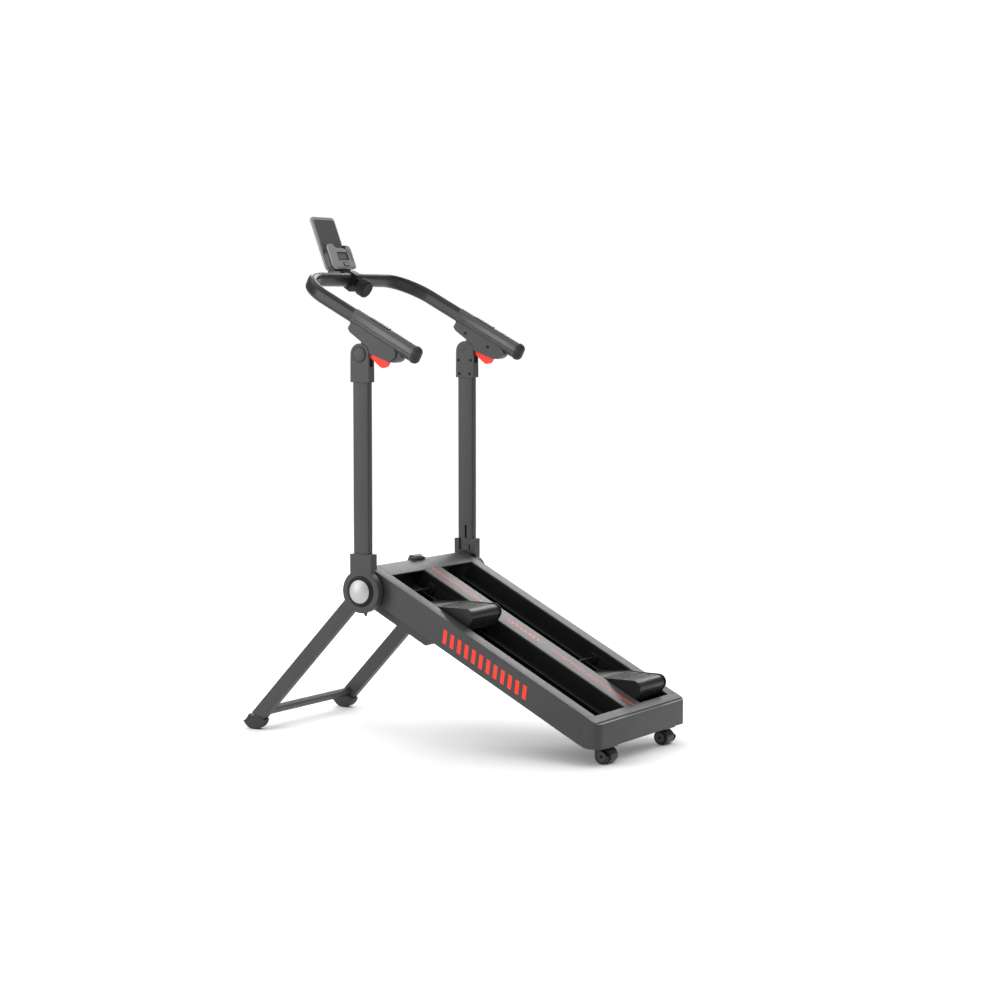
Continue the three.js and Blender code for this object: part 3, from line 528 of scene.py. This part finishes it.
def side_marks():
    """A plain row of leaning red bars on each outer panel, in place of the printed name."""
    low, high, lean, thick = -58, -24, 12, 0.3
    first, pitch, width, count = 201, 25, 12, 12
    for word, side in SIDES.items():
        bars = [prism(slanted_mark(first + i * pitch, width, low, high, lean),
                      DECK_HALF - 0.05, DECK_HALF + thick)
                for i in range(count)]
        piece(f"{word}_side_marks", join(*bars), "red", "deck", on_side(DECK, side))


def centre_stripe():
    """Two thin red lines along the centre beam, with a row of small marks between them."""
    half, thick = 1.8, 0.3
    lines = [prism([(-half, low), (half, low), (half, high), (-half, high)], -0.05, thick, "z")
             for low, high in ((22, 304), (551, 733))]
    marks = []
    for i in range(8):
        start = 345 + 15 * i
        outline = [(-7, start), (7, start + 5), (7, start + 11), (-7, start + 6)]
        marks.append(prism(outline, -0.05, thick, "z"))
    piece("centre_stripe", join(*lines, *marks), "red", "deck", DECK)


# ---------- pedals ----------
NOSE = (21, 19)
NOSE_R = 22
NOSE_TOP = 90 - math.degrees(SLOPE)  # where the round nose meets the flat top
HEEL_LENGTH, HEEL_LOW = 139, -16.5  # the heel's underside
PEDAL_HALF, CORE_HALF = 75, 70.5  # half widths over the cheeks and between them


def shoe_outline(inset):
    """Nose arc, flat top and underside of the heel, moved in by inset."""
    return (arc(NOSE, NOSE_R - inset, NOSE_TOP, 180, 28)
            + [Vector((4 + inset * 0.7, HEEL_LOW)), Vector((HEEL_LENGTH - inset, HEEL_LOW))])


def shoe_top(s):
    """Height of the flat top at a distance up the deck from the heel."""
    top = NOSE[0] + NOSE_R * cos(radians(NOSE_TOP)), NOSE[1] + NOSE_R * sin(radians(NOSE_TOP))
    return top[1] - math.tan(SLOPE) * (s - top[0])


def toe_outline():
    return [Vector(p) for p in ((60, -40), (60, 12), (134, shoe_top(134) - 1.2), (172, shoe_top(172) - 1),
                                (178, shoe_top(178) - 4), (182, -40))]


def tread_stud(x, s, long, wide, tall):
    """A low stud with round ends that stands on the flat top."""
    rings = []
    for share, scale in ((-0.4, 1.0), (0.55, 0.96), (0.9, 0.78), (1.0, 0.5)):
        ring = []
        for p in stadium(long * scale, wide * scale, 5):
            along = s + p[1]
            ring.append((x + p[0], along, shoe_top(along) + tall * share))
        rings.append(ring)
    return loft(rings)


def tread():
    """Rows of studs across the flat top, every other row shifted by half a pitch."""
    first_row, row_pitch, across_pitch = 46, 11, 16
    long, wide, tall = 11, 4.6, 0.6
    studs = []
    for row in range(7):
        s = first_row + row * row_pitch
        shift = across_pitch / 2 if row % 2 else 0
        for k in range(-4, 4):
            studs.append(tread_stud(k * across_pitch + shift, s, long, wide, tall))
    return join(*studs)


def pedals():
    for word, side in SIDES.items():
        body = f"{word}_pedal"
        lane = (CHANNEL_IN + CHANNEL_OUT) / 2 * side
        lowest, travel = 40, -joint("left_slide")["range_m"][0] / MM
        where = DECK @ at(lane * MM, (lowest + (travel if side < 0 else 0)) * MM, 0)
        core = prism(shoe_outline(3.2), -CORE_HALF, CORE_HALF)
        cheeks = [prism(shoe_outline(0), *span)
                  for span in ((CORE_HALF, PEDAL_HALF), (-PEDAL_HALF, -CORE_HALF))]
        piece(f"{word}_pedal_nose", core, "pedal", body, where, replaces=(body,), bevel=0.8)
        piece(f"{word}_pedal_cheeks", join(*cheeks), "pedal", body, where, bevel=1.6, segments=4)
        piece(f"{word}_pedal_toe", prism(toe_outline(), -72, 72), "black", body, where, bevel=2.0, segments=3)
        piece(f"{word}_pedal_tread", tread(), "black", body, where)
        lip_angle, lip_r = radians(197), NOSE_R - 3.0
        lip_place = NOSE[0] + lip_r * cos(lip_angle), NOSE[1] + lip_r * sin(lip_angle)
        lip = [(x, *lip_place) for x in (-69, 0, 69)]
        piece(f"{word}_pedal_lip", tube(lip, 0.9), "satin", body, where)
        shell(f"{word}_carriage", "satin", bevel=0.5)
        for end in ("lower", "upper"):
            shell(f"{word}_{end}_rollers", "roller", bevel=0.6)
        axle_height, carriage_half = -31, 75.4
        screws = [moved(moved(screw(5, 2.4), at(-carriage_half, s, axle_height)), MIRROR[hand])
                  for hand in (1, -1) for s in (30, 224)]
        piece(f"{word}_carriage_screws", join(*screws), "steel", body, where)


# ---------- transport wheels ----------
WHEEL_HALF = 20
CHEEK_FACE = 32  # the bracket's outer cheek, from the wheel's middle
INNER_FACE = -23.6  # just inside the inner cheek


def wheels():
    for word, side in SIDES.items():
        centre = on_side(at(*pivot(f"{word}_wheel_spin")), side)
        half = WHEEL_HALF
        tyre = rounded([[-half, 4.4], [-half, 15, 1], [1.6 - half, 16, 0.8], [-half, 18, 0.8],
                        [-half, 21, 3.0], [half, 21, 3.0],
                        [half, 18, 0.8], [half - 1.6, 16, 0.8], [half, 15, 1], [half, 4.4]], closed=False)
        ring = [(p[0], p[1]) for p in tyre]
        piece(f"{word}_wheel_tyre", lathe(ring + ring[:1]), "satin", f"{word}_wheel", centre,
              replaces=(f"{word}_wheel",))
        shell(f"{word}_wheel_bracket", "satin", bevel=1.0, segments=3)
        disc = lathe([(CHEEK_FACE - 0.5, 0), (CHEEK_FACE - 0.5, 13), (CHEEK_FACE + 1.0, 13),
                      (CHEEK_FACE + 1.6, 12.3), (CHEEK_FACE + 1.6, 5.2), (CHEEK_FACE + 0.6, 4.6),
                      (CHEEK_FACE + 0.6, 0)])
        bolt = moved(screw(4.1, 1.6), at(CHEEK_FACE + 0.5, 0, 0) @ MIRROR[-1])
        inner_disc = lathe([(0, 0), (0, 13), (-1.6, 13), (-2.2, 12.3), (-2.2, 5.2), (-1.2, 4.6), (-1.2, 0)])
        moved(inner_disc, at(INNER_FACE, 0, 0))
        nut = moved(screw(4.1, 1.6), at(INNER_FACE - 1.1, 0, 0))
        piece(f"{word}_wheel_discs", join(disc, inner_disc), "frame", "deck", centre)
        piece(f"{word}_wheel_bolts", join(bolt, nut), "black", "deck", centre)


# ---------- hubs ----------
TURNED_STEPS = 96  # sides of a large turned piece


def hubs():
    for word, side in SIDES.items():
        where = on_side(HUB, side)
        base = rounded([[233.6, 0], [233.6, 14, 1], [241.6, 14, 1], [241.6, 8], [245.3, 8], [245.3, 55, 1],
                        [254.7, 55, 1], [254.7, 14], [268, 14, 1], [268, 0]], closed=False)
        piece(f"{word}_hub_plate", lathe(base, TURNED_STEPS), "satin", "deck", where,
              replaces=(f"{word}_hub_base",))
        dome_r, dome_x, edge = 69.9, 220.1, 26.8
        dome = [(dome_x + dome_r * cos(radians(a)), dome_r * sin(radians(a)))
                for a in [edge * (1 - k / 18) for k in range(18)]]
        cap = [(271, 0), (271, 30.8), (281.6, 30.8), (282.2, 31.3)] + dome + [(dome_x + dome_r, 0)]
        cap_body = frame["nodes"][f"{word}_hub_cap"]["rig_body"]
        piece(f"{word}_hub_dome", lathe(cap, TURNED_STEPS), "silver", cap_body, where,
              replaces=(f"{word}_hub_cap",))
        collar_body = frame["nodes"][f"{word}_collar"]["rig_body"]
        # A black flare lining the recess round the dome: partly the recess's own black, partly painted shade,
        # as it is drawn out as wide as the recess's shadow.
        well = lathe([(270.8, 31.6), (282.6, 31.6), (283.2, 32.2), (282.8, 33.4), (277.4, 41.0),
                      (276.4, 42.6), (275.0, 42.6), (270.8, 41.8), (270.8, 31.6)], TURNED_STEPS)
        piece(f"{word}_hub_well", well, "black", collar_body, where)
        shell(f"{word}_collar", "frame", bevel=1.0, segments=3)
        detent = prism([(-7, -54), (16, -54), (14, -60), (5, -62), (0, -70), (-3, -61)], 246.2, 254)
        piece(f"{word}_hub_detent", detent, "frame", "deck", where, bevel=0.8)


# ---------- posts, heads, legs ----------
def posts():
    shells(both("post"), "frame", bevel=0.7, sharp=42)
    shells(both("head"), "frame", bevel=1.3, segments=3)
    for word, side in SIDES.items():
        where = on_side(HEAD, side)
        pin = lathe([(249.2, 0), (249.2, 6), (276.2, 6), (276.2, 19.6), (277.2, 19.6), (277.9, 18.6),
                     (278.4, 12), (278.6, 0)], TURNED_STEPS)
        piece(f"{word}_head_cover", pin, "frame", "posts", where, replaces=(f"{word}_head_pin",))
        # A black ring in the groove round the pin cover: painted shade of the groove.
        ring = lathe([(275.6, 20.0), (276.5, 20.2), (276.7, 20.8), (276.5, 21.4), (275.6, 21.6),
                      (275.6, 20.0)], TURNED_STEPS)
        piece(f"{word}_head_ring", ring, "black", "posts", where)
        places = ((21, -25.5), (-20, -25.5), (18, -64), (-16, -64))
        screws = [moved(screw(), at(249, y, z)) for y, z in places]
        piece(f"{word}_head_screws", join(*screws), "black", "posts", where)


def legs():
    shells(both("leg"), "frame", bevel=1.0, segments=3)
    shells(["leg_crossbar"], "frame", bevel=1.0)
    shells(both("foot"), "rubber", bevel=2.4, segments=4)


# ---------- handlebar ----------
POST_X = 262
BAR_BEND = 106
BAR_TALL, BAR_WIDE = 40, 24
GRIP_START, GRIP_END = -214, -449
GRIP_TALL, GRIP_WIDE = 45, 28


def bar_ring(point, across, section):
    """A section ring at a point of the bar: u stands up from the bar's plane, v lies across it."""
    return [Vector(point) + across * p[1] + Vector((0, 0, 1)) * p[0] for p in section]


def handlebar():
    section = stadium(BAR_TALL, BAR_WIDE, 18)
    rings = []
    for side in (-1, 1):
        half = []
        for y in (GRIP_END + 16, -330, -200, -BAR_BEND):
            half.append(bar_ring((side * POST_X, y, 0), Vector((-1, 0, 0)), section))
        steps = 36
        for k in range(1, steps + 1):
            turn = pi / 2 * k / steps
            out = Vector((side * cos(turn), sin(turn), 0))
            centre = Vector((side * (POST_X - BAR_BEND), -BAR_BEND, 0))
            across = Vector((-cos(turn), -side * sin(turn), 0))
            half.append(bar_ring(centre + out * BAR_BEND, across, section))
        rings.append(half)
    left, right = rings
    turned_round = []
    for ring in reversed(right):
        middle = sum(ring, Vector()) / len(ring)
        turned_round.append([Vector((2 * middle.x - p.x, 2 * middle.y - p.y, p.z)) for p in ring])
    piece("handlebar_tube", loft(left + turned_round), "satin", "handlebar", BAR, replaces=("handlebar",))


GRIP_SEAMS = (-3.2, -9.6)  # heights of the two seams, from the grip's middle


def grip_ring(y, inset):
    """A grip section with two seams on each side."""
    ring = []
    for p in stadium(GRIP_TALL - 2 * inset, GRIP_WIDE - 2 * inset, 30, 22):
        beyond = max(abs(p[0]) - (GRIP_TALL - GRIP_WIDE) / 2, 0)
        direction = Vector((math.copysign(beyond, p[0]), p[1])).normalized()
        depth = 0.9 if any(abs(p[0] - seam) < 0.5 for seam in GRIP_SEAMS) else 0.0
        inner = Vector(p) - direction * depth
        ring.append(Vector((POST_X + inner.y, y, inner.x)))
    return ring


def grips():
    """A grey sleeve with a round black end."""
    nose = 16
    rings = [grip_ring(GRIP_START, 2.2), grip_ring(GRIP_START - 0.7, 0.8), grip_ring(GRIP_START - 2, 0)]
    rings.append(grip_ring(GRIP_END + nose + 2, 0))
    rings.append(grip_ring(GRIP_END + nose + 1, 1.5))
    ends = [grip_ring(GRIP_END + nose + 6, 1.0), grip_ring(GRIP_END + nose + 5, -0.6),
            grip_ring(GRIP_END + nose + 3, -1.6)]
    for k in range(17):
        turn = radians(84 * k / 16)
        ends.append(grip_ring(GRIP_END + nose - nose * sin(turn), 13.4 * (1 - cos(turn)) - 1.6))
    for word, side in SIDES.items():
        where = on_side(BAR, side)
        piece(f"{word}_grip_sleeve", loft(rings), "grip", "handlebar", where, replaces=(f"{word}_grip",),
              sharp=50)
        piece(f"{word}_grip_end", loft(ends), "rubber", "handlebar", where, sharp=50)
        piece(f"{word}_grip_underside", grip_underside(), "rubber", "handlebar", where, sharp=50)
        piece(f"{word}_grip_knurl", join(*knurled_bands()), "grip", "handlebar", where)
        pulse_sensor(word, where)


GRIP_BAND = (GRIP_END + 28, GRIP_START - 5)  # the knurled bands lie between these


def grip_underside():
    """A darker skin round the grip's lower side, up to the lower seam."""
    top = GRIP_SEAMS[1] - 0.8
    skin = [p for p in stadium(GRIP_TALL + 0.7, GRIP_WIDE + 0.7, 30, 22) if p[0] < top]
    return loft([[(POST_X + p[1], y, p[0]) for p in skin] for y in (GRIP_BAND[0] - 2, GRIP_BAND[1] + 3)])


def knurled_bands():
    """Upright ribs in a row along both sides of the grip."""
    ribs, pitch, low, high = [], 2.6, GRIP_SEAMS[1] + 0.7, GRIP_SEAMS[0] - 0.7
    count = int((GRIP_BAND[1] - GRIP_BAND[0]) / pitch)
    for face in (-1, 1):
        x = POST_X + face * GRIP_WIDE / 2
        for k in range(count):
            y = GRIP_BAND[0] + k * pitch
            ribs.append(prism(box_outline(y, y + 1.5, low, high, 0.6), x - 0.8, x + 0.45))
    return ribs


def pulse_sensor(word, where):
    """Bright ribs in a dark tray on the grip's upper edge; their light grey is partly the silver's own tone
    and partly painted reflection.
    """
    top, low, high = GRIP_TALL / 2, -332, -266
    ribs = []
    for k in range(11):
        y = low + 1.6 + 5.9 * k
        outline = rounded([[POST_X - 6.5, top - 1], [POST_X + 6.5, top - 1], [POST_X + 6.5, top + 0.4, 1.6],
                           [POST_X, top + 2.4, 12], [POST_X - 6.5, top + 0.4, 1.6]])
        ribs.append(prism(outline, y, y + 3.0, "y"))
    tray = prism(box_outline(POST_X - 7.4, POST_X + 7.4, low - 1, high + 1, 3), top - 1.0, top + 0.25, "z")
    node = f"{word}_pulse_sensor"
    piece(f"{word}_sensor_ribs", join(*ribs), "sensor", "handlebar", where, replaces=(node,), bevel=0.3)
    piece(f"{word}_sensor_tray", tray, "black", "handlebar", where, bevel=0.4)


def brackets():
    shells(both("bracket"), "frame", bevel=1.6, segments=3)
    for word in SIDES:
        shell(f"{word}_release_trigger", "red", bevel=1.8, segments=4)
    for word, side in SIDES.items():
        screws = [moved(screw(), at(249, y, z)) for y, z in ((-2.6, 51.2), (-76.5, 12.6))]
        piece(f"{word}_bracket_screws", join(*screws), "black", "handlebar", on_side(HEAD, side))
        plug = lathe([(250.2, 0), (250.2, 2.1), (249, 2.1), (248.8, 3.2), (248.3, 2.8), (248.2, 0)], 32)
        moved(plug, at(0, -41, 8.5))
        piece(f"{word}_trigger_pin_plug", plug, "frame", "handlebar", on_side(HEAD, side))


# ---------- console ----------
FACE_Y = -8.3
FACE_LOW = 14
KNOB_RISE = -1  # knob's axis above the crossbar's centre
KNOB_BACK, KNOB_FRONT = -35, -60


def knob():
    lobes, steps = 24, 192
    turns = [2 * pi * k / steps for k in range(steps)]

    def ring(y, grow):
        lobed = [(24.5 + 0.4 * cos(lobes * a) + grow, a) for a in turns]
        return [(r * cos(a), y, r * sin(a)) for r, a in lobed]

    def round_ring(y, radius):
        return [(radius * cos(a), y, radius * sin(a)) for a in turns]

    front, back = KNOB_FRONT, KNOB_BACK
    rings = [round_ring(-17.5, 5), round_ring(back, 5), ring(back, -3), ring(back - 0.5, -1.2),
             ring(back - 1.8, -0.2), ring(back - 3.5, 0), ring(front + 4.5, 0), ring(front + 2.0, -0.5),
             ring(front + 0.6, -1.6), ring(front, -3.4), round_ring(front, 19.2),
             round_ring(front + 0.5, 18.6), round_ring(front + 0.5, 6)]
    piece("knob_grip", loft(rings), "black", "knob", BAR @ at(0, 0, KNOB_RISE * MM), replaces=("clamp_knob",),
          sharp=38)


def trapezoid(grow):
    """The button's outline, its left end slanted."""
    low, high = FACE_LOW + 8 - grow, FACE_LOW + 18 + grow
    return rounded([[-4 - grow, high, 3], [20 + grow, high, 3.4], [20 + grow, low, 3.4],
                    [1 - grow, low, 3.4]])


def console():
    shells(["console_front"], "console", bevel=1.6, segments=4)
    shells(["console_back"], "cover", bevel=1.4, segments=3)
    shells(["console_clamp"], "black", bevel=2.0, segments=4)
    half, base = 54.5, FACE_LOW - 0.4
    rim = rounded([[-half, base, 10], [half, base, 9], [half, base + 69, 12], [25, base + 69, 4],
                   [21, base + 61, 3], [-20, base + 61, 4], [-26, base + 73.5, 7], [-half, base + 73.5, 9]])
    gasket = prism(rim, FACE_Y + 5.4, FACE_Y + 8.6, "y")
    piece("console_gasket", gasket, "black", "console", CONSOLE, bevel=0.4)
    left, right, low, high = -18.3, 28.3, FACE_LOW + 26.2, FACE_LOW + 47.8
    shell("display", "screen", bevel=0.3)
    frame_ring = band(box_outline(left - 1.4, right + 1.4, low - 1.4, high + 1.4, 3.4),
                      box_outline(left + 0.6, right - 0.6, low + 0.6, high - 0.6, 2),
                      FACE_Y - 0.4, FACE_Y + 2.0)
    piece("display_frame", frame_ring, "black", "console", CONSOLE)
    piece("button_cap", prism(trapezoid(-0.6), FACE_Y - 1.4, FACE_Y + 3.9, "y"), "console", "button", CONSOLE,
          replaces=("console_button",), bevel=0.8, segments=3)
    button_ring = band(trapezoid(1.3), trapezoid(-0.2), FACE_Y - 0.5, FACE_Y + 1.5)
    piece("button_frame", button_ring, "black", "console", CONSOLE)
    for k, radius in enumerate((24, 29)):
        sweep = [(18 + p[0], FACE_Y - 0.1, FACE_LOW + 33 + p[1]) for p in arc((0, 0), radius, -20, 62, 20)]
        piece(f"console_arc_{k}", tube(sweep, 0.45, 6), "black", "console", CONSOLE)
    line = [(x, FACE_Y - 0.05, FACE_LOW + 3.4) for x in (-40, 0, 46)]
    piece("console_line", tube(line, 0.5, 6), "black", "console", CONSOLE)
    pad = lathe([(-2.6, 0), (-2.6, 4.4), (-1.6, 5.6), (2.5, 5.8), (2.5, 0)], 40)
    quarter = Matrix.Rotation(pi / 2, 4, "Z")
    moved(pad, at(25.5, FACE_Y + 1, FACE_LOW + 64) @ quarter)
    piece("console_pad", pad, "black", "console", CONSOLE)


def device():
    """A slab with a lighter rim and a dark glass panel."""
    half, tall = 55, 160
    low, back = FACE_LOW + 3.3, FACE_Y + 23
    body = prism(box_outline(-half, half, low, low + tall, 12), back, back + 8.3, "y")
    piece("device_case", body, "console", "device", CONSOLE, replaces=("device",), bevel=2.0, segments=5)
    panel = prism(box_outline(-half + 7, half - 5, low + 6, low + tall - 9, 6), back - 0.35, back + 1, "y")
    piece("device_panel", panel, "glass", "device", CONSOLE, bevel=0.25)
    lens = lathe([(0, 0), (0, 6), (1.4, 6), (1.9, 5.2), (1.9, 3), (1.2, 2.6), (1.2, 0)], 40)
    quarter = Matrix.Rotation(pi / 2, 4, "Z")
    moved(lens, at(-38, back + 8.2, low + tall - 18) @ quarter)
    piece("device_lens", lens, "glass", "device", CONSOLE)


def floor():
    """A wide pale floor."""
    shape = bmesh.new()
    bmesh.ops.create_circle(shape, cap_ends=True, segments=96, radius=60)
    mesh = bpy.data.meshes.new("floor")
    shape.to_mesh(mesh)
    shape.free()
    material, nodes, links = shader_of("floor")
    shader = nodes["Principled BSDF"]
    links.new(ramp(nodes, links, noise(nodes, links, 1.5), (0.86, 0.86, 0.86), (0.9, 0.9, 0.9)),
              shader.inputs["Base Color"])
    shader.inputs["Roughness"].default_value = 0.9
    mesh.materials.append(material)
    thing = bpy.data.objects.new("floor", mesh)
    thing.location.z = -0.0005
    bpy.context.scene.collection.objects.link(thing)


deck_shells()
side_marks()
centre_stripe()
pedals()
wheels()
hubs()
posts()
legs()
handlebar()
grips()
brackets()
knob()
console()
device()
floor()
